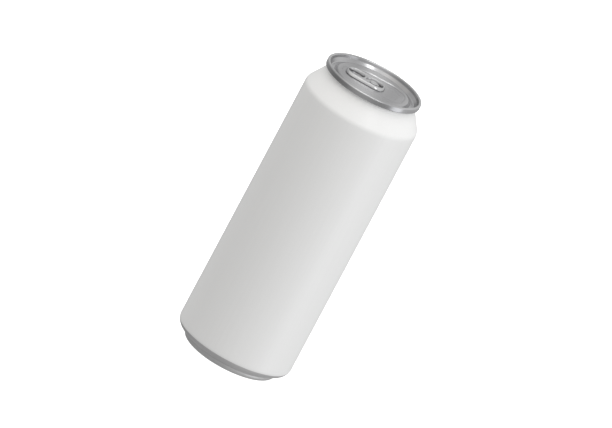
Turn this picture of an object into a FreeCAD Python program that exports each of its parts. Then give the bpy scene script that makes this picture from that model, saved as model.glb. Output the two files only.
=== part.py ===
"""A tall beverage can, closed: the filled two-piece body, the seamed end and the stay-on pull tab.

The can stands on its base rim. The origin is at the centre of that rim, +Z runs up the can's
axis, and the tab points along +X, towards the mouth. Every length is in millimetres.
"""

import FreeCAD, Part
import math
import os

import Sketcher

OUT = "parts"
ORIGIN = -1  # a sketch's root point, and its horizontal axis
V_AXIS = -2
START, END, CENTRE = 1, 2, 3

# alias, value, what it is
SIZES = [
    # the can as a whole
    ("body_radius", 33.0, "outside of the straight wall"),
    ("total_height", 173.0, "base rim to the top of the seam"),
    # base
    ("nose_radius", 27.05, "outside of the base ring"),
    ("nose_round", 2.7, "outer rounding of the base ring"),
    ("nose_inner_round", 1.8, "inner rounding of the base ring"),
    ("leg_radius", 21.9, "inside of the base ring"),
    ("leg_height", 4.6, "where the dome springs from the base ring"),
    ("dome_height", 10.6, "middle of the dome above the base rim"),
    ("dome_round", 1.3, "rounding between the base ring and the dome"),
    ("foot_height", 3.3, "where the base ring meets the sloping foot"),
    ("foot_crease", 0.9, "rounding of that crease"),
    ("foot_rise", 2.97, "rise of the sloping foot, out to the wall"),
    ("foot_round", 4.8, "rounding between the foot and the wall"),
    # neck
    ("shoulder_height", 157.3, "where the wall's line meets the neck cone's line"),
    ("shoulder_round", 5.4, "rounding of the shoulder"),
    ("neck_radius", 26.1, "neck just under the seam"),
    ("neck_height", 168.1, "where the neck cone's line meets the neck"),
    ("neck_round", 2.0, "hollow rounding under the seam"),
    # end: seam, chuck wall, countersink and panel
    ("seam_radius", 27.7, "outside of the double seam"),
    ("seam_depth", 3.1, "height of the double seam"),
    ("seam_width", 1.55, "thickness of the double seam"),
    ("seam_round", 0.72, "rounding of the seam's top"),
    ("seam_lip", 0.45, "rounding of the seam's lower edge"),
    ("chuck_radius", 25.75, "break between seaming wall and chuck wall"),
    ("chuck_drop", 1.9, "that break below the top of the seam"),
    ("chuck_round", 0.9, "rounding of that break"),
    ("groove_outer", 24.5, "countersink groove, outer side"),
    ("groove_inner", 22.2, "countersink groove, inner side"),
    ("groove_drop", 3.9, "countersink groove below the top of the seam"),
    ("groove_round", 0.7, "rounding of the groove's floor"),
    ("panel_radius", 20.9, "edge of the raised panel"),
    ("panel_drop", 2.0, "panel below the top of the seam"),
    ("panel_round", 0.9, "rounding of the panel's edge"),
    ("panel_stock", 1.1, "thickness of the end at its panel"),
    ("wall_stock", 0.42, "thickness of the end at its walls"),
    # end: recess, tear panel and rivet
    ("recess_depth", 0.45, "pressed recess round the tab and the mouth"),
    ("recess_heel", 18.4, "recess from the rivet, under the tab's heel"),
    ("recess_heel_half", 4.6, "half width of the recess at that end"),
    ("recess_heel_corner", 5.0, "corner rounding at that end"),
    ("recess_hip", 7.0, "recess's hip from the rivet, beside the finger hole"),
    ("recess_hip_half", 13.2, "half width of the recess at the hip"),
    ("recess_hip_corner", 14.0, "corner rounding at the hip"),
    ("recess_mouth", 18.4, "recess from the rivet, past the mouth"),
    ("recess_mouth_half", 15.0, "half width of the recess at that end"),
    ("recess_mouth_corner", 11.0, "corner rounding at that end"),
    ("recess_edge", 0.3, "rounding of the recess's rim"),
    ("mouth_near", 3.4, "score from the rivet, under the tab's nose"),
    ("mouth_far", 16.9, "score from the rivet, far side"),
    ("mouth_half", 9.8, "half width of the score"),
    ("mouth_corner", 6.6, "corner rounding of the score"),
    ("score_width", 0.35, "width of the score line"),
    ("score_depth", 0.15, "depth of the score line"),
    ("bead_inset", 1.7, "tear panel's bead inside the score"),
    ("bead_width", 0.9, "width of that bead"),
    ("bead_height", 0.25, "height of that bead"),
    ("rivet_base", 2.9, "raised foot of the rivet"),
    ("rivet_base_rise", 0.4, "height of that foot above the recess"),
    ("rivet_shank", 1.6, "shank of the rivet"),
    ("rivet_head", 2.3, "head of the rivet"),
    ("rivet_head_rise", 0.5, "height of the head above the tab's island"),
    ("rivet_head_round", 0.35, "rounding of the head"),
    # tab
    ("tab_nose", 6.8, "tab from the rivet, towards the mouth"),
    ("tab_heel", 16.3, "tab from the rivet, towards the heel"),
    ("tab_half", 6.7, "half width of the tab"),
    ("tab_corner", 6.0, "corner rounding of the tab"),
    ("tab_stock", 1.5, "thickness of the tab's curled rim"),
    ("tab_curl", 0.85, "rounding of the curled rim's top"),
    ("tab_under_curl", 0.2, "rounding of the rim's underside, pressed flat"),
    ("tab_top_drop", 0.9, "top of the tab below the top of the seam"),
    ("finger_far", 14.9, "finger hole from the rivet, heel side"),
    ("finger_near", 6.0, "finger hole from the rivet, near side"),
    ("finger_half", 4.1, "half width of the finger hole"),
    ("finger_corner", 3.9, "corner rounding of the finger hole"),
    ("window_heel", 4.3, "rivet window from the rivet, heel side"),
    ("window_nose", 5.1, "rivet window from the rivet, nose side"),
    ("window_half", 4.1, "half width of the rivet window"),
    ("window_corner", 3.7, "corner rounding of the rivet window"),
    ("hole_curl", 0.3, "rounding of the finger hole and the window"),
    ("island_radius", 2.9, "flat island that the rivet holds"),
    ("island_stock", 0.4, "thickness of the island"),
    ("hole_clear", 0.02, "clearance of the rivet in the island"),
]


def make_sheet(doc):
    """The driving sizes, one row each: what it is, its value and its alias."""
    sheet = doc.addObject("Spreadsheet::Sheet", "Sizes")
    for row, (alias, value, meaning) in enumerate(SIZES, start=1):
        sheet.set(f"A{row}", meaning)
        sheet.set(f"B{row}", str(value))
        sheet.setAlias(f"B{row}", alias)
    doc.recompute()
    return sheet


def sized(expression):
    """A formula in plain aliases, such as 'total_height - seam_depth', as FreeCAD reads it."""
    aliases = {alias for alias, _, _ in SIZES}
    words, word = [], ""
    for letter in expression + " ":
        if letter.isalnum() or letter == "_":
            word += letter
            continue
        words.append(f"Sizes.{word}" if word in aliases else word)
        words.append(letter)
        word = ""
    return "".join(words).strip()


def value_of(sheet, expression):
    """The number that such a formula gives now."""
    return float(sheet.evalExpression(sized(expression)))


def bind(sketch, constraint, name, expression):
    """Adds a dimension and ties it to the sheet."""
    index = sketch.addConstraint(constraint)
    sketch.renameConstraint(index, name)
    sketch.setExpression(f"Constraints.{name}", sized(expression))


def new_sketch(body, name, plane, lift=None):
    """A sketch on one of the body's own origin planes, lifted by a formula."""
    sketch = body.newObject("Sketcher::SketchObject", name)
    base = next(f for f in body.Origin.OriginFeatures if f.Role == plane)
    sketch.AttachmentSupport = [(base, "")]
    sketch.MapMode = "FlatFace"
    if lift:
        sketch.setExpression("AttachmentOffset.Base.z", sized(lift))
    return sketch


def rounding(before, corner, after, radius):
    """The arc that rounds a corner: its curve, and which of its ends comes first."""
    point = FreeCAD.Vector(corner[0], corner[1], 0)
    back = (FreeCAD.Vector(before[0], before[1], 0) - point).normalize()
    ahead = (FreeCAD.Vector(after[0], after[1], 0) - point).normalize()
    half = back.getAngle(ahead) / 2
    centre = point + (back + ahead).normalize() * (radius / math.sin(half))
    ends = [point + side * (radius / math.tan(half)) for side in (back, ahead)]
    angles = [math.atan2(p.y - centre.y, p.x - centre.x) for p in ends]
    left_turn = back.cross(ahead).z < 0
    if not left_turn:
        angles.reverse()
    if angles[1] < angles[0]:
        angles[1] += 2 * math.pi
    circle = Part.Circle(centre, FreeCAD.Vector(0, 0, 1), radius)
    arc = Part.ArcOfCircle(circle, angles[0], angles[1])
    return arc, ends, (START, END) if left_turn else (END, START)


def outline(sheet, sketch, tag, corners, domed=None):
    """A closed outline. Each corner is (x formula, y formula, rounding formula or None).

    A construction polygon holds the corners at their sizes. The outline's lines lie on it, and
    a tangent arc rounds each corner that has a rounding. domed names the side, by the corner on
    the sketch's vertical axis that it leaves, that is an arc about that axis and not a line.
    """
    spots = [(value_of(sheet, x), value_of(sheet, y)) for x, y, _ in corners]
    count = len(spots)
    vectors = [FreeCAD.Vector(x, y, 0) for x, y in spots]
    polygon = [
        sketch.addGeometry(Part.LineSegment(vectors[i], vectors[(i + 1) % count]), True)
        for i in range(count)
    ]
    for i, (x, y, _) in enumerate(corners):
        sketch.addConstraint(
            Sketcher.Constraint("Coincident", polygon[i - 1], END, polygon[i], START)
        )
        for axis, formula, kind, other in ((0, x, "DistanceX", V_AXIS), (1, y, "DistanceY", ORIGIN)):
            if abs(spots[i][axis]) < 1e-9:
                sketch.addConstraint(
                    Sketcher.Constraint("PointOnObject", polygon[i], START, other)
                )
            else:
                limit = Sketcher.Constraint(
                    kind, ORIGIN, START, polygon[i], START, spots[i][axis]
                )
                bind(sketch, limit, f"{tag}_{kind[-1]}{i}", formula)
    starts, finishes = list(vectors), list(vectors)  # where each corner's rounding starts and ends
    arcs = {}
    for i, (_, _, formula) in enumerate(corners):
        if formula is None:
            continue
        radius = value_of(sheet, formula)
        curve, ends, order = rounding(spots[i - 1], spots[i], spots[(i + 1) % count], radius)
        index = sketch.addGeometry(curve, False)
        bind(sketch, Sketcher.Constraint("Radius", index, radius), f"{tag}_R{i}", formula)
        starts[i], finishes[i] = ends
        arcs[i] = (index, order)
    for i in range(count):
        after = (i + 1) % count
        if i == domed:
            side = sketch.addGeometry(dome_arc(starts[after], finishes[i]), False)
            sketch.addConstraint(Sketcher.Constraint("PointOnObject", side, CENTRE, V_AXIS))
            for end, corner in ((END, i), (START, after)):
                sketch.addConstraint(
                    Sketcher.Constraint("Coincident", side, end, polygon[corner], START)
                )
            continue
        side = sketch.addGeometry(Part.LineSegment(finishes[i], starts[after]), False)
        for corner, end, which in ((i, START, 1), (after, END, 0)):
            if corner in arcs:
                index, order = arcs[corner]
                sketch.addConstraint(
                    Sketcher.Constraint("PointOnObject", side, end, polygon[i])
                )
                sketch.addConstraint(
                    Sketcher.Constraint("Tangent", side, end, index, order[which])
                )
            else:
                sketch.addConstraint(
                    Sketcher.Constraint("Coincident", side, end, polygon[corner], START)
                )


def dome_arc(rim, top):
    """The arc from the top, on the vertical axis, out and down to the rim."""
    rise = top.y - rim.y
    radius = (rim.x**2 + rise**2) / (2 * rise)
    centre = FreeCAD.Vector(0, top.y - radius, 0)
    lowest = math.atan2(rim.y - centre.y, rim.x)
    circle = Part.Circle(centre, FreeCAD.Vector(0, 0, 1), radius)
    return Part.ArcOfCircle(circle, lowest, math.pi / 2)


def rounded_box(near, far, half, corner):
    """The corners of a rounded outline from near to far along X, and half wide each side."""
    return [
        (near, f"-({half})", corner),
        (far, f"-({half})", corner),
        (far, half, corner),
        (near, half, corner),
    ]


def revolve(body, sketch, name):
    """Turns a profile once round the Z axis."""
    turned = body.newObject("PartDesign::Revolution", name)
    turned.Profile = sketch
    turned.ReferenceAxis = (sketch, ["V_Axis"])
    turned.Angle = 360
    sketch.Visibility = False
    return turned


def extrude(body, sketch, name, kind, length, downwards=False):
    """A Pad or a Pocket whose length is a formula."""
    feature = body.newObject(f"PartDesign::{kind}", name)
    feature.Profile = sketch
    feature.setExpression("Length", sized(length))
    feature.Reversed = downwards
    sketch.Visibility = False
    return feature


def round_edges(body, name, radius, wanted):
    """Rounds the edges of the body's last feature that wanted(edge) picks."""
    body.Document.recompute()
    base = body.Tip
    names = [f"Edge{i}" for i, e in enumerate(base.Shape.Edges, start=1) if wanted(e)]
    if not names:
        raise RuntimeError(f"{name} found no edge to round")
    fillet = body.newObject("PartDesign::Fillet", name)
    fillet.Base = (base, names)
    fillet.setExpression("Radius", sized(radius))
    body.Document.recompute()
    return fillet


def at_height(edge, z):
    """Whether an edge lies flat at one height."""
    box = edge.BoundBox
    return abs(box.ZMin - z) < 1e-4 and abs(box.ZMax - z) < 1e-4


def end_underside():
    """The end's hidden underside, from the seam's lower edge in to the axis."""
    seam_foot = "total_height - seam_depth"
    floor = "total_height - groove_drop - wall_stock"
    panel = "total_height - panel_drop - panel_stock"
    return [
        ("chuck_radius + 0.2 * wall_stock", seam_foot, None),
        ("groove_outer + 0.7 * wall_stock", floor, "groove_round"),
        ("groove_inner - 0.8 * wall_stock", floor, "groove_round"),
        ("panel_radius - 0.3 * wall_stock", panel, None),
        ("0", panel, None),
    ]


def make_body(doc, sheet):
    """The can's body with its contents: a drawn and ironed wall, necked in at the top."""
    body = doc.addObject("PartDesign::Body", "can_body")
    sketch = new_sketch(body, "wall_profile", "XZ_Plane")
    corners = [
        ("leg_radius", "leg_height", None),
        ("leg_radius", "0", "nose_inner_round"),
        ("nose_radius", "0", "nose_round"),
        ("nose_radius", "foot_height", "foot_crease"),
        ("body_radius", "foot_height + foot_rise", "foot_round"),
        ("body_radius", "shoulder_height", "shoulder_round"),
        ("neck_radius", "neck_height", "neck_round"),
        ("neck_radius", "total_height - seam_depth", None),
    ]
    corners += end_underside() + [("0", "dome_height", None)]
    outline(sheet, sketch, "wall", corners, domed=len(corners) - 1)
    revolve(body, sketch, "wall")
    rim = value_of(sheet, "leg_height")
    inside = value_of(sheet, "leg_radius")
    round_edges(
        body,
        "dome_rounding",
        "dome_round",
        lambda e: at_height(e, rim) and abs(e.BoundBox.XMax - inside) < 1e-3,
    )
    return body


def make_end(doc, sheet):
    """The seamed end: seam, chuck wall, countersink, panel with its recess, score and rivet."""
    body = doc.addObject("PartDesign::Body", "can_end")
    rim = "total_height"
    panel = "total_height - panel_drop"
    floor = "total_height - groove_drop"
    sketch = new_sketch(body, "end_profile", "XZ_Plane")
    corners = end_underside()[::-1] + [
        ("seam_radius", "total_height - seam_depth", "seam_lip"),
        ("seam_radius", rim, "seam_round"),
        ("seam_radius - seam_width", rim, "seam_round"),
        ("chuck_radius", "total_height - chuck_drop", "chuck_round"),
        ("groove_outer", floor, "groove_round"),
        ("groove_inner", floor, "groove_round"),
        ("panel_radius", panel, "panel_round"),
        ("0", panel, None),
    ]
    outline(sheet, sketch, "end", corners)
    revolve(body, sketch, "end_sheet")

    recess = new_sketch(body, "recess_outline", "XY_Plane", panel)
    outline(
        sheet,
        recess,
        "recess",
        [
            ("-(recess_heel)", "-(recess_heel_half)", "recess_heel_corner"),
            ("-(recess_hip)", "-(recess_hip_half)", "recess_hip_corner"),
            ("recess_mouth", "-(recess_mouth_half)", "recess_mouth_corner"),
            ("recess_mouth", "recess_mouth_half", "recess_mouth_corner"),
            ("-(recess_hip)", "recess_hip_half", "recess_hip_corner"),
            ("-(recess_heel)", "recess_heel_half", "recess_heel_corner"),
        ],
    )
    extrude(body, recess, "recess", "Pocket", "recess_depth")
    level = value_of(sheet, panel)
    reach = value_of(sheet, "panel_radius - panel_round") - 0.01
    round_edges(
        body,
        "recess_rim",
        "recess_edge",
        lambda e: at_height(e, level) and e.BoundBox.XMax < reach and e.BoundBox.YMax < reach,
    )

    recess_floor = f"{panel} - recess_depth"
    score = new_sketch(body, "score_outline", "XY_Plane", recess_floor)
    ring(sheet, score, "score", "0", "score_width")
    extrude(body, score, "score", "Pocket", "score_depth")

    bead = new_sketch(body, "bead_outline", "XY_Plane", recess_floor)
    ring(sheet, bead, "bead", "bead_inset", "bead_width")
    extrude(body, bead, "bead", "Pad", "bead_height")

    rivet = new_sketch(body, "rivet_profile", "XZ_Plane")
    seat = f"{recess_floor} + rivet_base_rise"
    neck = f"{seat} + island_stock"
    outline(
        sheet,
        rivet,
        "rivet",
        [
            ("0", f"{recess_floor} - 0.1", None),
            ("rivet_base + 0.3", f"{recess_floor} - 0.1", None),
            ("rivet_base", seat, None),
            ("rivet_shank", seat, None),
            ("rivet_shank", neck, None),
            ("rivet_head", neck, None),
            ("rivet_head", f"{neck} + rivet_head_rise", "rivet_head_round"),
            ("0", f"{neck} + rivet_head_rise", None),
        ],
    )
    revolve(body, rivet, "rivet")
    return body


def ring(sheet, sketch, tag, inset, width):
    """Two outlines round the mouth, one inside the other by width."""
    for side, step in (("outer", inset), ("inner", f"{inset} + {width}")):
        outline(
            sheet,
            sketch,
            f"{tag}_{side}",
            rounded_box(
                f"mouth_near + {step}",
                f"mouth_far - ({step})",
                f"mouth_half - ({step})",
                f"mouth_corner - ({step})",
            ),
        )


def make_tab(doc, sheet):
    """The pull tab: a curled rim round a finger hole and a window with the rivet's island."""
    body = doc.addObject("PartDesign::Body", "pull_tab")
    top = "total_height - tab_top_drop"
    under = f"{top} - tab_stock"
    rim = new_sketch(body, "tab_outline", "XY_Plane", under)
    outline(
        sheet, rim, "tab", rounded_box("-(tab_heel)", "tab_nose", "tab_half", "tab_corner")
    )
    extrude(body, rim, "tab_rim", "Pad", "tab_stock")
    low, high = value_of(sheet, under), value_of(sheet, top)
    round_edges(body, "tab_curl", "tab_curl", lambda e: at_height(e, high))
    round_edges(body, "tab_under_curl", "tab_under_curl", lambda e: at_height(e, low))

    holes = new_sketch(body, "tab_holes", "XY_Plane", top)
    outline(
        sheet,
        holes,
        "finger",
        rounded_box("-(finger_far)", "-(finger_near)", "finger_half", "finger_corner"),
    )
    outline(
        sheet,
        holes,
        "window",
        rounded_box("-(window_heel)", "window_nose", "window_half", "window_corner"),
    )
    extrude(body, holes, "tab_openings", "Pocket", "tab_stock")
    inside = value_of(sheet, "finger_far") + 0.01
    half = value_of(sheet, "finger_half") + 0.01
    round_edges(
        body,
        "hole_curl",
        "hole_curl",
        lambda e: (at_height(e, low) or at_height(e, high))
        and e.BoundBox.XMin > -inside
        and e.BoundBox.YMax < half
        and e.BoundBox.YMin > -half,
    )

    seat = "total_height - panel_drop - recess_depth + rivet_base_rise"
    island = new_sketch(body, "island_outline", "XY_Plane", seat)
    outline(
        sheet,
        island,
        "island",
        rounded_box("-(window_heel + 0.6)", "island_radius", "island_radius", "0.7 * island_radius"),
    )
    extrude(body, island, "island", "Pad", "island_stock")
    bore = new_sketch(body, "rivet_hole", "XY_Plane", f"{seat} + island_stock")
    circle = bore.addGeometry(
        Part.Circle(FreeCAD.Vector(0, 0, 0), FreeCAD.Vector(0, 0, 1), 1.0), False
    )
    bore.addConstraint(Sketcher.Constraint("Coincident", circle, CENTRE, ORIGIN, START))
    bind(
        bore,
        Sketcher.Constraint("Radius", circle, 1.0),
        "hole_radius",
        "rivet_shank + hole_clear",
    )
    extrude(body, bore, "rivet_bore", "Pocket", "2 * island_stock")
    return body


def check(doc, bodies):
    """Stops on any failed object, and on any shape that is null, invalid or not one solid."""
    for thing in doc.Objects:
        if "Invalid" in thing.State or "Error" in thing.State:
            raise RuntimeError(f"{thing.Label} failed: {thing.State}")
        if thing.TypeId == "Sketcher::SketchObject" and not thing.FullyConstrained:
            raise RuntimeError(f"{thing.Label} isn't fully constrained")
    for body in bodies:
        shape = body.Shape
        if shape.isNull() or not shape.isValid() or len(shape.Solids) != 1:
            raise RuntimeError(f"{body.Label} isn't one valid solid")
        box = shape.BoundBox
        print(
            f"{body.Label}: {shape.Volume:.1f} mm3, "
            f"x {box.XMin:.2f} to {box.XMax:.2f}, z {box.ZMin:.2f} to {box.ZMax:.2f}"
        )


def main():
    doc = FreeCAD.newDocument("can")
    sheet = make_sheet(doc)
    bodies = [make_body(doc, sheet), make_end(doc, sheet), make_tab(doc, sheet)]
    doc.recompute()
    check(doc, bodies)
    os.makedirs(OUT, exist_ok=True)
    for body in bodies:
        body.Shape.exportStep(os.path.join(OUT, f"{body.Label}.step"))


main()
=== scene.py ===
# %% [markdown]
# # A tall drink can, shut
#
# The can has three pieces. The body is drawn and ironed from one aluminium disc, so it has no side
# seam: a thin straight wall, a neck squeezed in at the top and a dome pushed up into the base. The end is
# pressed from a second disc and rolled onto the neck in a double seam. The pull tab is a third strip
# of aluminium with curled edges, held by a rivet that is raised out of the end itself.
#
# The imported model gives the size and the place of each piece. This lesson remakes all three as finer
# meshes in the same place, and gives them the finishes of the real ones. It starts by loading that model.

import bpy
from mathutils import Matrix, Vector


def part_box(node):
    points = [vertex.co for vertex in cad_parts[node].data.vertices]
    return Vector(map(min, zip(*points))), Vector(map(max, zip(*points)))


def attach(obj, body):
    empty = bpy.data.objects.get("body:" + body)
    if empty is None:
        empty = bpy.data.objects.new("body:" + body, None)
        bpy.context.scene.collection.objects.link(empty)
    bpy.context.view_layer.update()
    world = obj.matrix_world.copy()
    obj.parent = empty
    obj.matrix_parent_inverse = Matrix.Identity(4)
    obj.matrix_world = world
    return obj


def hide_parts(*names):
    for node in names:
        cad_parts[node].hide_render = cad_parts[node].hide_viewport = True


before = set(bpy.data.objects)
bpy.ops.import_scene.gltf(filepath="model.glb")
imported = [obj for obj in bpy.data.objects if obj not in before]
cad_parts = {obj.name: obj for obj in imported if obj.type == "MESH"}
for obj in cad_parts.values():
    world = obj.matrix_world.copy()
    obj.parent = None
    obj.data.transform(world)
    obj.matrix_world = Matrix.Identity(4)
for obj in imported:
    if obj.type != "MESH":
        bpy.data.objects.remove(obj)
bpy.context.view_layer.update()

# %% Libraries and the unit
import math

import bmesh
import bpy
import numpy as np
from mathutils import Vector
from mathutils.geometry import delaunay_2d_cdt

MM = 0.001  # every size below is in millimetres, and is turned to metres by this
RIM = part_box("can_end")[1].z / MM  # the top of the seam
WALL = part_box("can_body")[1].x / MM  # the radius of the straight wall
SEAM_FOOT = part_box("can_body")[1].z / MM  # the lower edge of the seam
print(f"rim {RIM:.1f} mm, wall radius {WALL:.1f} mm, seam foot {SEAM_FOOT:.1f} mm")

# %% [markdown]
# ## Rounded lines
#
# The body and the end are round, so each is a profile turned about the can's axis. The recess, the
# mouth and the tab are outlines seen from above. A tool maker draws all of these in one way: straight
# runs between corners, and a radius at each corner. The helper below takes the corners and their radii
# and returns the rounded line as points.

# %% Round the corners of a line
ARC_STEP = math.radians(6.1)  # just over 6 degrees, so that a quarter turn always gets 15 steps


def rounded(corners, closed=False):
    """Points (x, y) along a line whose corners (x, y, radius) are rounded by arcs."""
    points = []
    count = len(corners)
    for i, (x, y, radius) in enumerate(corners):
        here = Vector((x, y))
        if radius == 0 or (not closed and i in (0, count - 1)):
            points.append(here)
            continue
        back = (Vector(corners[i - 1][:2]) - here).normalized()
        ahead = (Vector(corners[(i + 1) % count][:2]) - here).normalized()
        half = math.acos(max(-1.0, min(1.0, back.dot(ahead)))) / 2
        centre = here + (back + ahead).normalized() * (radius / math.sin(half))
        first = here + back * (radius / math.tan(half)) - centre
        turn = math.pi - 2 * half
        if back.x * ahead.y - back.y * ahead.x > 0:
            turn = -turn
        steps = max(3, math.ceil(abs(turn) / ARC_STEP))
        for k in range(steps + 1):
            cosine, sine = math.cos(turn * k / steps), math.sin(turn * k / steps)
            spoke = (first.x * cosine - first.y * sine, first.x * sine + first.y * cosine)
            points.append(centre + Vector(spoke))
    return points


def divided(points, longest):
    """The same line with its long runs cut into lengths of at most longest."""
    line = [points[0]]
    for a, b in zip(points, points[1:]):
        cuts = max(1, math.ceil((b - a).length / longest))
        line += [a.lerp(b, k / cuts) for k in range(1, cuts + 1)]
    return line


def with_height(points, height):
    """The same line with a point added where it first crosses a height."""
    for i, (a, b) in enumerate(zip(points, points[1:])):
        if (a.y - height) * (b.y - height) < 0:
            return points[: i + 1] + [a.lerp(b, (height - a.y) / (b.y - a.y))] + points[i + 1 :]
    return points


quarter = rounded([(0, 0, 0), (2, 0, 1), (2, 2, 0)])
print("a quarter turn of radius 1 between two runs takes", len(quarter), "points")

# %% [markdown]
# ## The turning tree
#
# Both round pieces follow the same rule, a profile swept once round a circle, so one Geometry Nodes
# tree makes both. Its inputs are the number of segments, the material above a split height and the
# material below it. The split is where the white coat stops and the bare metal of the foot begins.

# %% A helper that adds a node
def add_node(tree, kind, inputs=None, **settings):
    """Adds a node with its settings. An input takes a value, or a socket to link from."""
    made = tree.nodes.new(kind)
    for name, value in settings.items():
        setattr(made, name, value)
    for name, value in (inputs or {}).items():
        socket = made.inputs[name]
        if isinstance(value, bpy.types.NodeSocket):
            tree.links.new(value, socket)
        else:
            socket.default_value = value
    return made


# %% Build the turning tree
HUB = 10.0  # the radius of the sweep's own circle; the profile is drawn as offsets from it
WELD = 0.0005  # points closer than this are one, so the poles on the axis close


def turning_tree():
    tree = bpy.data.node_groups.new("turned_profile", "GeometryNodeTree")
    face = tree.interface
    face.new_socket("Profile", in_out="INPUT", socket_type="NodeSocketGeometry")
    for name, kind in (
        ("Segments", "NodeSocketInt"),
        ("Split Height", "NodeSocketFloat"),
        ("Upper Material", "NodeSocketMaterial"),
        ("Lower Material", "NodeSocketMaterial"),
    ):
        face.new_socket(name, in_out="INPUT", socket_type=kind)
    face.new_socket("Piece", in_out="OUTPUT", socket_type="NodeSocketGeometry")
    given = add_node(tree, "NodeGroupInput").outputs
    circle = add_node(
        tree,
        "GeometryNodeCurvePrimitiveCircle",
        {"Resolution": given["Segments"], "Radius": HUB * MM},
    )
    line = add_node(tree, "GeometryNodeMeshToCurve", {"Mesh": given["Profile"]})
    swept = add_node(
        tree,
        "GeometryNodeCurveToMesh",
        {"Curve": circle.outputs["Curve"], "Profile Curve": line.outputs["Curve"]},
    )
    welded = add_node(
        tree,
        "GeometryNodeMergeByDistance",
        {"Geometry": swept.outputs["Mesh"], "Distance": WELD * MM},
    )
    smooth = add_node(tree, "GeometryNodeSetShadeSmooth", {0: welded.outputs["Geometry"]})
    real = add_node(tree, "GeometryNodeRealizeInstances", {0: smooth.outputs[0]})
    upper = add_node(
        tree,
        "GeometryNodeSetMaterial",
        {"Geometry": real.outputs[0], "Material": given["Upper Material"]},
    )
    place = add_node(tree, "GeometryNodeInputPosition")
    height = add_node(tree, "ShaderNodeSeparateXYZ", {0: place.outputs[0]})
    below = add_node(
        tree,
        "FunctionNodeCompare",
        {"A": height.outputs["Z"], "B": given["Split Height"]},
        data_type="FLOAT",
        operation="LESS_THAN",
    )
    lower = add_node(
        tree,
        "GeometryNodeSetMaterial",
        {
            "Geometry": upper.outputs["Geometry"],
            "Selection": below.outputs["Result"],
            "Material": given["Lower Material"],
        },
    )
    add_node(tree, "NodeGroupOutput", {"Piece": lower.outputs["Geometry"]})
    return tree


TURNING = turning_tree()
print("turning tree:", len(TURNING.nodes), "nodes")


# %% Keep a mesh as a piece, closed and facing outward
def kept_piece(name, mesh):
    """Turns the mesh's faces outward, reports what is open, and links it as an object."""
    mesh.name = name
    faces = bmesh.new()
    faces.from_mesh(mesh)
    bmesh.ops.recalc_face_normals(faces, faces=faces.faces)
    volume = faces.calc_volume(signed=True) / MM**3
    triangles = sum(len(f.verts) - 2 for f in faces.faces)
    loose = sum(not e.is_manifold for e in faces.edges)
    faces.to_mesh(mesh)
    faces.free()
    piece = bpy.data.objects.new(name, mesh)
    bpy.context.scene.collection.objects.link(piece)
    print(f"{name}: {triangles} triangles, {volume:.0f} cubic mm, {loose} open edges")
    return piece


# %% Turn a profile into a closed piece
BELOW_ALL = -1.0  # a split height that leaves the whole piece above it


def turned(name, profile, segments, upper, lower=None, split=BELOW_ALL):
    """Sweeps a profile, points (radius, height) in mm, and returns the piece as a plain mesh."""
    line = bpy.data.meshes.new(name + "_profile")
    line.from_pydata(
        [((p.x - HUB) * MM, -p.y * MM, 0) for p in profile],
        [(i, i + 1) for i in range(len(profile) - 1)],
        [],
    )
    source = bpy.data.objects.new(name + "_profile", line)
    bpy.context.scene.collection.objects.link(source)
    modifier = source.modifiers.new("turn", "NODES")
    modifier.node_group = TURNING
    wanted = {
        "Segments": segments,
        "Split Height": split * MM,
        "Upper Material": upper,
        "Lower Material": lower or upper,
    }
    for item in TURNING.interface.items_tree:
        if item.in_out == "INPUT" and item.name in wanted:
            modifier[item.identifier] = wanted[item.name]
    seen = source.evaluated_get(bpy.context.evaluated_depsgraph_get())
    mesh = bpy.data.meshes.new_from_object(seen)
    bpy.data.objects.remove(source)
    return kept_piece(name, mesh)


# %% [markdown]
# ## Colour and scale
#
# Colours are written as the hex values a painter would read off a screen. The renderer works in linear
# light, so one function converts them. A pattern is given by its real size in millimetres, and a noise
# texture wants cycles per metre, so a second function turns one into the other.

# %% Hex to linear light, and millimetres to cycles
def colour(code):
    """A hex colour such as "#c0c0c0" as linear red, green, blue and alpha."""
    values = [int(code[i : i + 2], 16) / 255 for i in (1, 3, 5)]
    return [v / 12.92 if v <= 0.04045 else ((v + 0.055) / 1.055) ** 2.4 for v in values] + [1.0]


def cycles(*sizes):
    """Cycles per metre of a pattern that repeats every so many millimetres along X, Y and Z."""
    return tuple(1 / (size * MM) for size in sizes)


print("mid grey #808080 is", round(colour("#808080")[0], 3), "in linear light")
print("a pattern of 2 mm has", cycles(2.0)[0], "cycles to the metre")

# %% [markdown]
# ## The white coat
#
# The wall carries a white base coat and a clear varnish, both rolled on while the can spins and then
# baked. The result is a satin skin a few micrometres thick. To the eye it is a broad, soft highlight, a
# very fine orange peel, and the faint upright lines that ironing left in the metal beneath. The base
# coat is the shader's own rough white, the varnish is its coat, and one bump carries both patterns.

# %% White base coat and varnish
PEEL = 1.4  # mm from swell to swell of the varnish
IRONING = 0.8  # mm from line to line; the real lines are finer, drawn as coarse as they need to show
IRONING_RUN = 60.0  # mm that one line runs up the wall
COAT_RELIEF = 0.02  # mm from the hollows to the tops of both patterns


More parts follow.
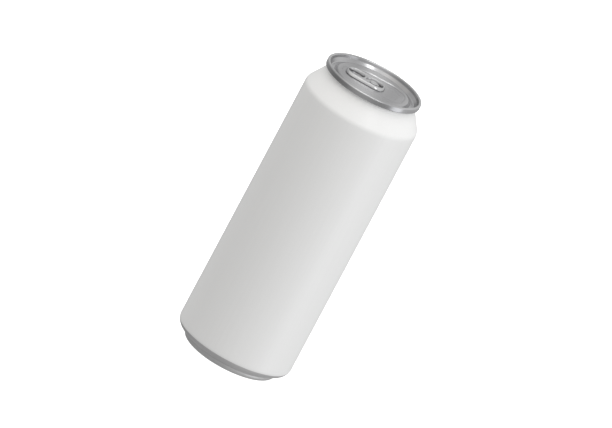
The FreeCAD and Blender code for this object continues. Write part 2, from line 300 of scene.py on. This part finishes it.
def white_coat():
    material = bpy.data.materials.new("white_basecoat_varnish")
    material.use_nodes = True
    tree = material.node_tree
    tree.nodes.clear()
    place = add_node(tree, "ShaderNodeTexCoord").outputs["Object"]
    swells = add_node(
        tree, "ShaderNodeMapping", {"Vector": place, "Scale": cycles(PEEL, PEEL, PEEL)}
    )
    peel = add_node(
        tree, "ShaderNodeTexNoise", {"Vector": swells.outputs[0], "Scale": 1.0, "Detail": 2.0}
    )
    upright = add_node(
        tree,
        "ShaderNodeMapping",
        {"Vector": place, "Scale": cycles(IRONING, IRONING, IRONING_RUN)},
    )
    lines = add_node(
        tree, "ShaderNodeTexNoise", {"Vector": upright.outputs[0], "Scale": 1.0, "Detail": 3.0}
    )
    both = add_node(
        tree,
        "ShaderNodeMix",
        {"Factor": 0.5, "A": peel.outputs["Fac"], "B": lines.outputs["Fac"]},
        data_type="FLOAT",
    )
    bump = add_node(
        tree,
        "ShaderNodeBump",
        {"Strength": 0.08, "Distance": COAT_RELIEF * MM, "Height": both.outputs[0]},
    )
    tone = add_node(
        tree,
        "ShaderNodeMix",
        {"Factor": lines.outputs["Fac"], "A": colour("#eeeeed"), "B": colour("#f2f2f1")},
        data_type="RGBA",
    )
    shader = add_node(
        tree,
        "ShaderNodeBsdfPrincipled",
        {
            "Base Color": tone.outputs[2],
            "Roughness": 0.45,
            "IOR": 1.5,
            "Coat Weight": 0.35,
            "Coat Roughness": 0.32,
            "Normal": bump.outputs[0],
        },
    )
    add_node(tree, "ShaderNodeOutputMaterial", {"Surface": shader.outputs[0]})
    return material


WHITE = white_coat()
print("coat:", WHITE.name)


# %% [markdown]
# ## Bare aluminium
#
# The foot is left without paint, because it slides on the factory's tracks. The end and the tab are
# lacquered sheet. All three show the same metal, with different lines in it: upright ones where the
# wall was ironed, and straight ones along the strip where the sheet was rolled. The lines change the
# metal's tone, roughness and slope a little, so a reflection breaks into soft streaks. Broad bands,
# a little duller and brighter in turn, also run across each sheet; on the end they are painted shade,
# lighter across the middle of the panel and darker towards its ends.

# %% Aluminium with lines along one direction
WAVE_TURNS = 20  # a wave texture turns by this many radians per unit of its scale
ROUGHNESS_SWING = 0.03  # the lines are this much smoother or rougher than the metal


def aluminium(name, tones, roughness, line_size, depth, band_size, band_and_shade_share, band_and_shade_phase=0.0):
    """Sizes are in mm: the lines' along X, Y and Z, their depth, and from band to band along X."""
    material = bpy.data.materials.new(name)
    material.use_nodes = True
    tree = material.node_tree
    tree.nodes.clear()
    place = add_node(tree, "ShaderNodeTexCoord").outputs["Object"]
    along = add_node(
        tree, "ShaderNodeMapping", {"Vector": place, "Scale": cycles(*line_size)}
    )
    grain = add_node(
        tree, "ShaderNodeTexNoise", {"Vector": along.outputs[0], "Scale": 1.0, "Detail": 4.0}
    ).outputs["Fac"]
    # On the end's sheet these bands are painted shade: lighter across the middle of the panel, darker
    # towards its ends.
    bands = add_node(
        tree,
        "ShaderNodeTexWave",
        {
            "Vector": place,
            "Scale": 2 * math.pi / (WAVE_TURNS * band_size * MM),
            "Distortion": 1.2,
            "Detail": 1.0,
            "Detail Scale": 2.0,
            "Phase Offset": band_and_shade_phase,
        },
    )
    mixed = add_node(
        tree,
        "ShaderNodeMix",
        {"Factor": band_and_shade_share, "A": grain, "B": bands.outputs["Fac"]},
        data_type="FLOAT",
    )
    tone = add_node(
        tree,
        "ShaderNodeMix",
        {"Factor": mixed.outputs[0], "A": colour(tones[0]), "B": colour(tones[1])},
        data_type="RGBA",
    )
    rough = add_node(
        tree,
        "ShaderNodeMapRange",
        {
            "Value": grain,
            "To Min": roughness - ROUGHNESS_SWING,
            "To Max": roughness + ROUGHNESS_SWING,
        },
    )
    bump = add_node(
        tree, "ShaderNodeBump", {"Strength": 1.0, "Distance": depth * MM, "Height": grain}
    )
    shader = add_node(
        tree,
        "ShaderNodeBsdfPrincipled",
        {
            "Base Color": tone.outputs[2],
            "Metallic": 1.0,
            "Roughness": rough.outputs[0],
            "Normal": bump.outputs[0],
        },
    )
    add_node(tree, "ShaderNodeOutputMaterial", {"Surface": shader.outputs[0]})
    return material


# %% The foot, the end's sheet and the tab's strip
# All three patterns are drawn coarser than the real lines, which are far too fine to show.
# Drawn and ironed wall stock, without any coat: a pale, dull grey with short upright lines.
BARE = aluminium(
    "ironed_aluminium",
    tones=("#c6c6c6", "#dadada"),
    roughness=0.48,
    line_size=(0.9, 0.9, 14.0),
    depth=0.002,
    band_size=30,
    band_and_shade_share=0.3,
)
# Cold rolled sheet under a clear lacquer: a darker grey with clearer reflections, and broad bands of
# painted shade, lighter across the middle of the panel and darker towards its ends.
SHEET = aluminium(
    "rolled_end_sheet_painted_shade",
    tones=("#9c9c9d", "#c4c4c5"),
    roughness=0.25,
    line_size=(10.0, 0.9, 6.0),
    depth=0.001,
    band_size=27,
    band_and_shade_share=0.8,
    band_and_shade_phase=3.6,
)
# Narrow strip under the same lacquer, rolled smoother still: a little brighter and clearer.
STRIP = aluminium(
    "rolled_tab_strip",
    tones=("#b4b4b5", "#c6c6c7"),
    roughness=0.22,
    line_size=(9.0, 0.7, 6.0),
    depth=0.001,
    band_size=14,
    band_and_shade_share=0.3,
)
print("materials:", [m.name for m in bpy.data.materials])

# %% [markdown]
# ## The body
#
# Read the profile from the inside of the foot outwards: the dome, the ring the can stands on, the
# sloping foot, the straight wall, the shoulder, the neck, and the part that the end hides.

# %% Sizes of the end's hidden underside
PANEL = RIM - 2.0  # the height of the end's flat panel
GROOVE = RIM - 3.9  # the height of the bottom of its groove
END_STOCK = 0.42  # the end's thickness below the groove
PANEL_STOCK = 1.1  # the same below the panel, room enough for what the presses lower
UNDERSIDE = [  # (radius, height, rounding) from the seam's lower edge in to the axis
    (25.84, SEAM_FOOT, 0.0),
    (24.79, GROOVE - END_STOCK, 0.7),
    (21.86, GROOVE - END_STOCK, 0.7),
    (20.77, PANEL - PANEL_STOCK, 0.0),
    (0.0, PANEL - PANEL_STOCK, 0.0),
]
print(f"panel at {PANEL:.1f} mm, groove at {GROOVE:.1f} mm")

# %% The dome in the base
DOME_TOP = 10.6  # the height of the middle of the dome
DOME_RIM = (21.9, 4.6)  # radius and height where the dome meets the ring's inner leg
DOME_STOP = 1.2  # the last point of the sphere is this far inside that corner's radius
DOME_POINTS = 16


def dome():
    """Points from the dome's middle out towards the ring, on one sphere."""
    rise = DOME_TOP - DOME_RIM[1]
    radius = (DOME_RIM[0] ** 2 + rise**2) / (2 * rise)
    widths = np.linspace(0, DOME_RIM[0] - DOME_STOP, DOME_POINTS)
    return [Vector((w, DOME_TOP - radius + math.sqrt(radius**2 - w * w))) for w in widths]


middle = dome()
print(f"the dome is {middle[0].y:.1f} mm up in the middle and {middle[-1].y:.1f} mm at its last point")

# %% The body's profile and mesh
RING = 27.05  # the outer radius of the ring that the can stands on
CREASE = 3.3  # the height where the ring meets the sloping foot
FOOT_TOP = 6.27  # the height where the foot meets the straight wall
SHOULDER = 157.3  # the height where the straight wall ends
NECK = (26.1, 168.1)  # the radius and height of the neck's narrowest corner
COAT_EDGE = 7.6  # the height of the white coat's lower edge
LONGEST_RUN = 4.0  # longer stretches of the profile are cut, so that no face is a long sliver
BODY_SEGMENTS = 384
body_corners = [  # (radius, height, rounding)
    (middle[-1].x, middle[-1].y, 0.0),
    (*DOME_RIM, 1.0),
    (DOME_RIM[0], 0.0, 1.8),
    (RING, 0.0, 2.7),
    (RING, CREASE, 0.9),
    (WALL, FOOT_TOP, 4.8),
    (WALL, SHOULDER, 5.4),
    (*NECK, 2.0),
    (NECK[0], SEAM_FOOT, 0.0),
]
body_line = middle[:-1] + rounded(body_corners + UNDERSIDE)
body_line = divided(with_height(body_line, COAT_EDGE), LONGEST_RUN)
body = turned("can_shell", body_line, BODY_SEGMENTS, WHITE, BARE, COAT_EDGE)

# %% [markdown]
# ## The end
#
# The end is pressed in one stroke: chuck wall, a groove that makes it stiff, and a flat panel. A
# second press lowers the middle of the panel, scores the mouth, and raises a bead on the tear panel.
# The first steps are round, so they come from a profile. The rest is a height added to the panel.

# %% The rivet's profile
RECESS_DEPTH = 0.45  # how far the second press lowers the middle of the panel
FLOOR = PANEL - RECESS_DEPTH
SEAT = FLOOR + 0.4  # the top of the rivet's foot, where the tab's island lies
ISLAND_STOCK = 0.4  # the island's thickness
RIVET_UNDER = SEAT + ISLAND_STOCK  # the underside of the rivet's head
RIVET_TOP = RIVET_UNDER + 0.5
RIVET_FOOT, RIVET_SHANK, RIVET_HEAD = 3.25, 1.6, 2.3  # radii
RIVET = [  # (radius, height, rounding) from the panel in to the axis
    (RIVET_FOOT, FLOOR, 0.0),
    (2.9, SEAT, 0.2),
    (RIVET_SHANK, SEAT, 0.0),
    (RIVET_SHANK, RIVET_UNDER, 0.0),
    (RIVET_HEAD, RIVET_UNDER, 0.1),
    (RIVET_HEAD, RIVET_TOP, 0.3),
    (1.5, RIVET_TOP, 0.3),
    (1.1, RIVET_TOP - 0.2, 0.3),
    (0.0, RIVET_TOP - 0.2, 0.0),
]
print(f"the rivet's head lies from {RIVET_UNDER:.2f} to {RIVET_TOP:.2f} mm")

# %% The end's profile and mesh
SEAM, SEAM_INNER = 27.7, 26.15  # the seam's outer and inner radius
RELIEF_EDGE = 20.0  # the presses change nothing outside this radius
RING_STEP = 0.15  # the spacing of the panel's rings, fine enough for the score
END_RUN = 2.0  # the longest stretch of the rest of the profile
END_SEGMENTS = 330
end_corners = UNDERSIDE[::-1] + [  # (radius, height, rounding)
    (SEAM, SEAM_FOOT, 0.45),
    (SEAM, RIM, 0.72),
    (SEAM_INNER, RIM, 0.72),
    (25.75, RIM - 1.9, 0.9),
    (24.5, GROOVE, 0.7),
    (22.2, GROOVE, 0.7),
    (20.9, PANEL, 0.9),
    (RELIEF_EDGE, PANEL, 0.0),
]
ring_count = round((RELIEF_EDGE - RIVET_FOOT) / RING_STEP)
rings = [Vector((r, PANEL)) for r in np.linspace(RELIEF_EDGE, RIVET_FOOT, ring_count + 1)]
end_line = divided(rounded(end_corners), END_RUN)[:-1] + rings + rounded(RIVET)[1:]
end = turned("end_shell", end_line, END_SEGMENTS, SHEET)


# %% Outlines seen from above, and the distance to one
def bar(near, far, half, corner, grow=0.0):
    """A rounded bar from near to far along X and half wide each side, grown by a distance."""
    radius = corner + grow
    corners = [
        (near - grow, -half - grow, radius),
        (far + grow, -half - grow, radius),
        (far + grow, half + grow, radius),
        (near - grow, half + grow, radius),
    ]
    return rounded(corners, closed=True)


def distance_outside(x, y, line):
    """How far each point (x, y) is outside a closed line; negative inside. All in mm."""
    a = np.array([tuple(p) for p in line])
    b = np.roll(a, -1, axis=0)
    run = b - a
    length = np.maximum((run**2).sum(-1), 1e-12)  # never nothing, even where two points meet
    away = np.stack([x, y], -1)[:, None] - a
    share = np.clip((away * run).sum(-1) / length, 0, 1)
    gap = np.linalg.norm(away - share[..., None] * run, axis=-1).min(1)
    straddles = (a[:, 1] > y[:, None]) != (b[:, 1] > y[:, None])
    rise = np.where(run[:, 1] == 0, 1, run[:, 1])
    crossing = a[:, 0] + (y[:, None] - a[:, 1]) * run[:, 0] / rise
    inside = (straddles & (x[:, None] < crossing)).sum(1) % 2 == 1
    return np.where(inside, -gap, gap)


def step(value, low, high):
    """A smooth rise from 0 at low to 1 at high."""
    t = np.clip((value - low) / (high - low), 0, 1)
    return t * t * (3 - 2 * t)


def ridge(value, centre, width):
    """A smooth bump, 1 at centre and 0 beyond half the width each side."""
    return step(-np.abs(value - centre), -width / 2, 0)


probe = distance_outside(np.array([0.0, 3.0]), np.zeros(2), bar(-1, 1, 1, 0.5))
print("a point inside a small bar and one beside it:", probe, "mm outside")

# %% What the presses leave on the panel
RECESS_CORNERS = [  # (x, y, rounding) under the tab's heel, beside the rivet, and past the mouth
    (-18.4, 4.6, 5.0),
    (-7.0, 13.2, 14.0),
    (18.4, 15.0, 11.0),
]
RECESS = rounded(
    RECESS_CORNERS + [(cx, -cy, radius) for cx, cy, radius in RECESS_CORNERS[::-1]], closed=True
)
RECESS_SLOPE = (-0.4, 0.05)  # its side falls between these distances outside the outline
MOUTH = bar(3.4, 16.9, 9.8, 6.6)
SCORE_DEPTH, SCORE_WIDTH = 0.14, 0.5
BEAD_HEIGHT, BEAD_WIDTH, BEAD_INSET = 0.26, 1.3, 2.1


def pressed_height(x, y):
    """The height that the presses add to the panel at a point, in mm."""
    recess = distance_outside(x, y, RECESS)
    mouth = distance_outside(x, y, MOUTH)
    height = -RECESS_DEPTH * (1 - step(recess, *RECESS_SLOPE))
    height -= SCORE_DEPTH * ridge(mouth, 0.0, SCORE_WIDTH)
    return height + BEAD_HEIGHT * ridge(mouth, -BEAD_INSET, BEAD_WIDTH)


# %% Press the panel
CLOSE = 0.001  # points this near the panel's height belong to it
spots = np.empty(len(end.data.vertices) * 3)
end.data.vertices.foreach_get("co", spots)
spots = spots.reshape(-1, 3)
from_axis = np.hypot(spots[:, 0], spots[:, 1]) / MM
on_panel = (np.abs(spots[:, 2] / MM - PANEL) < CLOSE) & (from_axis < RELIEF_EDGE + CLOSE)
x, y = spots[on_panel, 0] / MM, spots[on_panel, 1] / MM
spots[on_panel, 2] += pressed_height(x, y) * MM
end.data.vertices.foreach_set("co", spots.ravel())
end.data.update()
print("pressed", int(on_panel.sum()), "points of the panel")

# %% [markdown]
# ## The pull tab
#
# The tab is stamped from strip, and its edges are curled under so that no raw edge is left to cut a
# finger. Seen from above it is a rounded bar with a finger hole, a web and a window. Inside the window a
# flat tongue, the island, lies on the rivet's foot. Both are plates: rings of points follow each
# outline round its curl, and a net of triangles fills the rest. The underside has the same points,
# seen from above, but it is flat almost to its edge, because the curl is pressed down against the web.

# %% Rings of points round each outline
RUN_CUTS = 14  # points along each straight run of an outline
CURL_STEPS = (0.0, 0.03, 0.1, 0.22, 0.38, 0.58, 0.8, 1.0)  # share of the curl's width, rim first


def ring_of(outline, grow):
    """Points round an outline grown by a distance, the same number whatever the distance."""
    points = bar(*outline, grow)
    arc = len(points) // 4
    line = []
    for i in range(4):
        start, end = points[(i + 1) * arc - 1], points[(i + 1) * arc % len(points)]
        line += points[i * arc : (i + 1) * arc]
        line += [start.lerp(end, k / RUN_CUTS) for k in range(1, RUN_CUTS)]
    return line


def curl_rings(outlines, curls):
    """Rings of points across each curl: the points, the bands' faces, and where rings lie.

    Returns also two lists of (first point, count): the rims, and the last ring of each curl.
    """
    points, faces, rims, lasts = [], [], [], []
    for i, (outline, curl) in enumerate(zip(outlines, curls)):
        inward = -1 if i == 0 else 1
        for k, share in enumerate(CURL_STEPS):
            ring = ring_of(outline, inward * curl * share)
            n, first = len(ring), len(points)
            points += ring
            if k == 0:
                rims.append((first, n))
            else:
                faces += [
                    [first - n + j, first - n + (j + 1) % n, first + (j + 1) % n, first + j]
                    for j in range(n)
                ]
        lasts.append((first, n))
    return points, faces, rims, lasts


print("a ring round a small bar has", len(ring_of((-1, 1, 1, 0.5), 0)), "points")


# %% A net of triangles between the rings
ROW = 0.866  # the height of a triangle whose sides are 1
KEEP_OFF = 0.45  # no point of the net comes nearer an edge than this share of its spacing
INSIDE_ONLY = 1  # the triangulation keeps only what lies within the outermost ring
SAME_POINT = 1e-6  # mm within which it takes two points for one


def clearance(x, y, lines):
    """How far each point is inside the first line and outside the others."""
    gaps = [distance_outside(x, y, line) for line in lines]
    return np.min([-gaps[0]] + gaps[1:], axis=0)


def net_between(lines, outline, spacing):
    """Evenly spaced points inside the first line, the outline's, and outside the others."""
    near, far, half = outline[:3]
    x, y = np.meshgrid(np.arange(near, far, spacing), np.arange(-half, half, spacing * ROW))
    x[::2] += spacing / 2
    x, y = x.ravel(), y.ravel()
    kept = clearance(x, y, lines) > KEEP_OFF * spacing
    return [Vector(p) for p in zip(x[kept], y[kept])]


def filled(points, lasts, fill, lines):
    """The triangles between the last rings and the points of the net, which follow them."""
    plan, edges, index = [], [], []
    for first, n in lasts:
        edges += [(len(plan) + j, len(plan) + (j + 1) % n) for j in range(n)]
        plan += points[first : first + n]
        index += range(first, first + n)
    index += range(len(points), len(points) + len(fill))
    made, _, triangles, origins, *_ = delaunay_2d_cdt(
        plan + fill, edges, [], INSIDE_ONLY, SAME_POINT
    )
    centres = np.array([np.mean([tuple(made[v]) for v in t], axis=0) for t in triangles])
    inside = clearance(centres[:, 0], centres[:, 1], lines) > 0
    return [[index[origins[v][0]] for v in t] for t, keep in zip(triangles, inside) if keep]


# %% A plate with curled edges
def plate(outlines, curls, spacing, height_at):
    """A closed plate: its points (x, y, height above its widest line) in mm, and its faces.

    The first outline is the outside and the others are holes. curls: the curl's width at each.
    spacing: that of the net between them. height_at: gives the upper and the lower height.
    """
    points, faces, rims, lasts = curl_rings(outlines, curls)
    lines = [bar(*o, (-c if i == 0 else c)) for i, (o, c) in enumerate(zip(outlines, curls))]
    fill = net_between(lines, outlines[0], spacing)
    faces += filled(points, lasts, fill, lines)
    xy = np.array([tuple(p) for p in points + fill])
    upper, lower = height_at(xy[:, 0], xy[:, 1])
    on_rim = np.zeros(len(xy), bool)
    for first, n in rims:
        on_rim[first : first + n] = True
    upper[on_rim] = lower[on_rim] = 0
    top = [(x, y, h) for (x, y), h in zip(xy, upper)]
    under = [(x, y, h) for (x, y), h in zip(xy, lower)]
    other = np.where(on_rim, np.arange(len(xy)), np.arange(len(xy)) + len(xy))
    faces += [[int(other[v]) for v in reversed(face)] for face in faces]
    return top + under, faces


# %% Sizes of the tab and its island
TAB = (-16.3, 6.8, 6.7, 6.0)  # each outline: near end, far end, half width, corner radius
FINGER = (-14.9, -6.0, 4.1, 3.9)
WINDOW = (-4.3, 5.1, 4.1, 3.7)
ISLAND = (-4.9, 2.9, 2.9, 2.03)
SHANK_HOLE = (-1.62, 1.62, 1.62, 1.61)
TAB_TOP = RIM - 0.9
TAB_STOCK = 1.5  # the tab's thickness over its curls
WIDEST = 0.12  # height of the rim's widest line above the tab's underside
CURL, LIP = 0.85, 0.45  # widths of the curled rim and of the holes' lips, seen from above
UNDER_CURL = 0.2  # the same under the tab, where the curl is pressed flat
ISLAND_CURL = 0.12
ROLL = 1.3  # 2 is a quarter round, 1 a straight slope
CHANNEL = 0.24  # how far the web lies below the curls
RIM_SLOPE, LIP_SLOPE = 0.65, 0.5  # widths of the slopes down to the web from the rim and a lip
TAB_NET, ISLAND_NET = 0.2, 0.4  # spacing of the points between the curls
print(f"the tab lies from {TAB_TOP - TAB_STOCK:.2f} to {TAB_TOP:.2f} mm")


# %% Heights of the tab and its island
def curled(distance, width, height):
    """The height of a rolled edge at a distance in from its rim: steep, then level."""
    inward = 1 - np.clip(distance / width, 0, 1)
    return height * (1 - inward**ROLL) ** (1 / ROLL)


def tab_height(x, y):
    """The tab's upper and lower height above its widest line, in mm."""
    rail = -distance_outside(x, y, bar(*TAB))
    hole = np.minimum(
        distance_outside(x, y, bar(*FINGER)), distance_outside(x, y, bar(*WINDOW))
    )
    rise = TAB_STOCK - WIDEST
    edge = np.minimum(curled(rail, CURL, rise), curled(hole, LIP, rise))
    web = step(rail, CURL, CURL + RIM_SLOPE) * step(hole, LIP, LIP + LIP_SLOPE)
    return edge - CHANNEL * web, -curled(np.minimum(rail, hole), UNDER_CURL, WIDEST)


def island_height(x, y):
    """The island's upper and lower height above its widest line, in mm."""
    edge = np.minimum(
        -distance_outside(x, y, bar(*ISLAND)), distance_outside(x, y, bar(*SHANK_HOLE))
    )
    upper = curled(edge, ISLAND_CURL, ISLAND_STOCK / 2)
    return upper, -upper


# %% Make both plates
plates = (  # each with the height of its widest line
    (
        plate((TAB, FINGER, WINDOW), (CURL, LIP, LIP), TAB_NET, tab_height),
        TAB_TOP - TAB_STOCK + WIDEST,
    ),
    (
        plate((ISLAND, SHANK_HOLE), (ISLAND_CURL, ISLAND_CURL), ISLAND_NET, island_height),
        SEAT + ISLAND_STOCK / 2,
    ),
)
corners, faces = [], []
for (points, sides), level in plates:
    faces += [[len(corners) + v for v in side] for side in sides]
    corners += [(px * MM, py * MM, (level + h) * MM) for px, py, h in points]
print(len(faces), "faces in the tab and its island")

# %% The tab's mesh
tab_mesh = bpy.data.meshes.new("tab_shell")
tab_mesh.from_pydata(corners, [], faces)
strays = bmesh.new()
strays.from_mesh(tab_mesh)
bmesh.ops.delete(strays, geom=[v for v in strays.verts if not v.link_faces], context="VERTS")
strays.to_mesh(tab_mesh)
strays.free()
tab_mesh.polygons.foreach_set("use_smooth", [True] * len(tab_mesh.polygons))
tab_mesh.materials.append(STRIP)
tab = kept_piece("tab_shell", tab_mesh)

# %% [markdown]
# ## Tie the pieces to the model
#
# Each mesh rides on the can's one body and stands in for the model's node of the same part.

# %% Ride and replace
for piece, node, slot in (
    (body, "can_body", "white_coating"),
    (end, "can_end", "bare_aluminium"),
    (tab, "pull_tab", "tab_aluminium"),
):
    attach(piece, "root")
    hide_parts(node)
    print(piece.name, "stands for", node)

# %% [markdown]
# ## Floor and light
#
# The can stands on a white floor in a bright tent of soft light. Metal shows what it reflects, so the
# tent isn't even: it is dim near the ground and bright overhead. Inside it are five soft boxes. A small
# one high on the right lights the neck and the end, and a tall one far round to the right puts the
# sheen on the wall. A warm, wide one on the left fills the shade, one overhead picks out the end's
# rings, and one behind on the left lifts the wall's far edge off the background. The floor glows and is
# hidden from reflections, as a sheet lit from below is behind a product on a catalogue page.

# %% Floor
floor_mesh = bpy.data.meshes.new("floor")
REACH = 4.0  # metres from the middle of the floor to each side
floor_mesh.from_pydata(
    [(-REACH, -REACH, 0), (REACH, -REACH, 0), (REACH, REACH, 0), (-REACH, REACH, 0)],
    [],
    [(0, 1, 2, 3)],
)
floor = bpy.data.objects.new("floor", floor_mesh)
bpy.context.scene.collection.objects.link(floor)
floor_paint = bpy.data.materials.new("glowing_white_floor")
floor_paint.use_nodes = True
floor_paint.node_tree.nodes.clear()
floor_shader = add_node(
    floor_paint.node_tree,
    "ShaderNodeBsdfPrincipled",
    {
        "Base Color": colour("#f2f2f2"),
        "Roughness": 0.9,
        "Emission Color": colour("#ffffff"),
        "Emission Strength": 1.0,
    },
)
add_node(
    floor_paint.node_tree, "ShaderNodeOutputMaterial", {"Surface": floor_shader.outputs[0]}
)
floor.data.materials.append(floor_paint)
floor.visible_glossy = False
floor.visible_diffuse = False
floor.visible_shadow = False
print("floor:", 2 * REACH, "m square")


# %% A soft box
BOX_AIM = 0.1  # metres above the floor, a little over half way up the can


def soft_box(name, azimuth, elevation, width, height, power, tint):
    """An area light a metre from the can that faces it; azimuth 0 is the front, 90 the right."""
    a, e = math.radians(azimuth), math.radians(elevation)
    away = Vector((math.sin(a) * math.cos(e), -math.cos(a) * math.cos(e), math.sin(e)))
    light = bpy.data.lights.new(name, "AREA")
    light.shape = "RECTANGLE"
    light.size, light.size_y = width, height
    light.energy = power
    light.color = colour(tint)[:3]
    lamp = bpy.data.objects.new(name, light)
    lamp.location = Vector((0, 0, BOX_AIM)) + away
    lamp.rotation_euler = (-away).to_track_quat("-Z", "Y").to_euler()
    bpy.context.scene.collection.objects.link(lamp)
    return lamp


# %% Place the soft boxes
VIEW_AZIMUTH = 5.0  # the camera's own azimuth, which most of the boxes are placed from
# name, azimuth and elevation in degrees, width and height in metres, watts, tint
soft_box("key_box", VIEW_AZIMUTH + 31, 44, 0.25, 0.25, 0.72, "#ffffff")
soft_box("side_box", VIEW_AZIMUTH + 76, -8, 0.5, 0.9, 1.45, "#f8faff")
soft_box("fill_box", VIEW_AZIMUTH - 60, 50, 1.3, 0.8, 0.85, "#fff8ec")
soft_box("overhead_box", 0, 86, 0.38, 0.38, 0.8, "#ffffff")
edge_box = soft_box("edge_box", VIEW_AZIMUTH - 132, -6, 0.6, 1.1, 1.7, "#ffffff")
edge_box.visible_glossy = False  # the white wall gets its light, and the metal doesn't mirror it
print("soft boxes:", [light.name for light in bpy.data.lights])

# %% The tent
LOW, HIGH = 0.45, 1.08  # radiance towards the ground and straight overhead
RIGHT_GAIN = 0.14  # how much more comes from the right than from the middle
LOW_END = -0.35  # the height of a direction, -1 straight down and 1 straight up, where LOW ends
world = bpy.data.worlds.new("tent")
bpy.context.scene.world = world
world.use_nodes = True
tent = world.node_tree
tent.nodes.clear()
way = add_node(tent, "ShaderNodeTexCoord")
up = add_node(tent, "ShaderNodeSeparateXYZ", {0: way.outputs["Generated"]})
shade = add_node(
    tent,
    "ShaderNodeMapRange",
    {
        "Value": up.outputs["Z"],
        "From Min": LOW_END,
        "From Max": 1.0,
        "To Min": LOW,
        "To Max": HIGH,
    },
)
lopsided = add_node(
    tent,
    "ShaderNodeMath",
    {0: up.outputs["X"], 1: RIGHT_GAIN, 2: shade.outputs[0]},
    operation="MULTIPLY_ADD",
)
glow = add_node(
    tent,
    "ShaderNodeBackground",
    {"Color": colour("#ffffff"), "Strength": lopsided.outputs[0]},
)
add_node(tent, "ShaderNodeOutputWorld", {"Surface": glow.outputs[0]})
print("tent:", len(tent.nodes), "nodes")

# %% [markdown]
# ## The camera
#
# The camera looks down on the can from the front with no perspective, as a long lens far away does.
# It is also leaned over to one side, so that the upright can seems to float at a slant.

# %% Camera
VIEW_ELEVATION = 18.3
LEAN = 28.12  # degrees that the camera is turned about its own line of sight
AIM_HEIGHT, AIM_RIGHT = 89.4, 0.97  # mm from the middle of the base to the point in the view's middle
FAR_BACK = 1.2  # metres from that point to the camera
a, e, lean = (math.radians(v) for v in (VIEW_AZIMUTH, VIEW_ELEVATION, LEAN))
back = Vector((math.sin(a) * math.cos(e), -math.cos(a) * math.cos(e), math.sin(e)))
level = Vector((math.cos(a), math.sin(a), 0))
upright = back.cross(level)
camera_up = upright * math.cos(lean) - level * math.sin(lean)
camera_right = level * math.cos(lean) + upright * math.sin(lean)
target = Vector((0, 0, AIM_HEIGHT * MM)) + level * AIM_RIGHT * MM
camera = bpy.data.objects.new("camera", bpy.data.cameras.new("camera"))
camera.data.type = "ORTHO"
camera.data.ortho_scale = 0.3234  # metres across the view
bpy.context.scene.collection.objects.link(camera)
pose = camera.matrix_world.to_3x3()
pose.col[0], pose.col[1], pose.col[2] = camera_right, camera_up, back
camera.matrix_world = pose.to_4x4()
camera.location = target + back * FAR_BACK
bpy.context.scene.camera = camera
bpy.context.scene.view_settings.view_transform = "Standard"
print("camera at", tuple(round(v, 3) for v in camera.location))
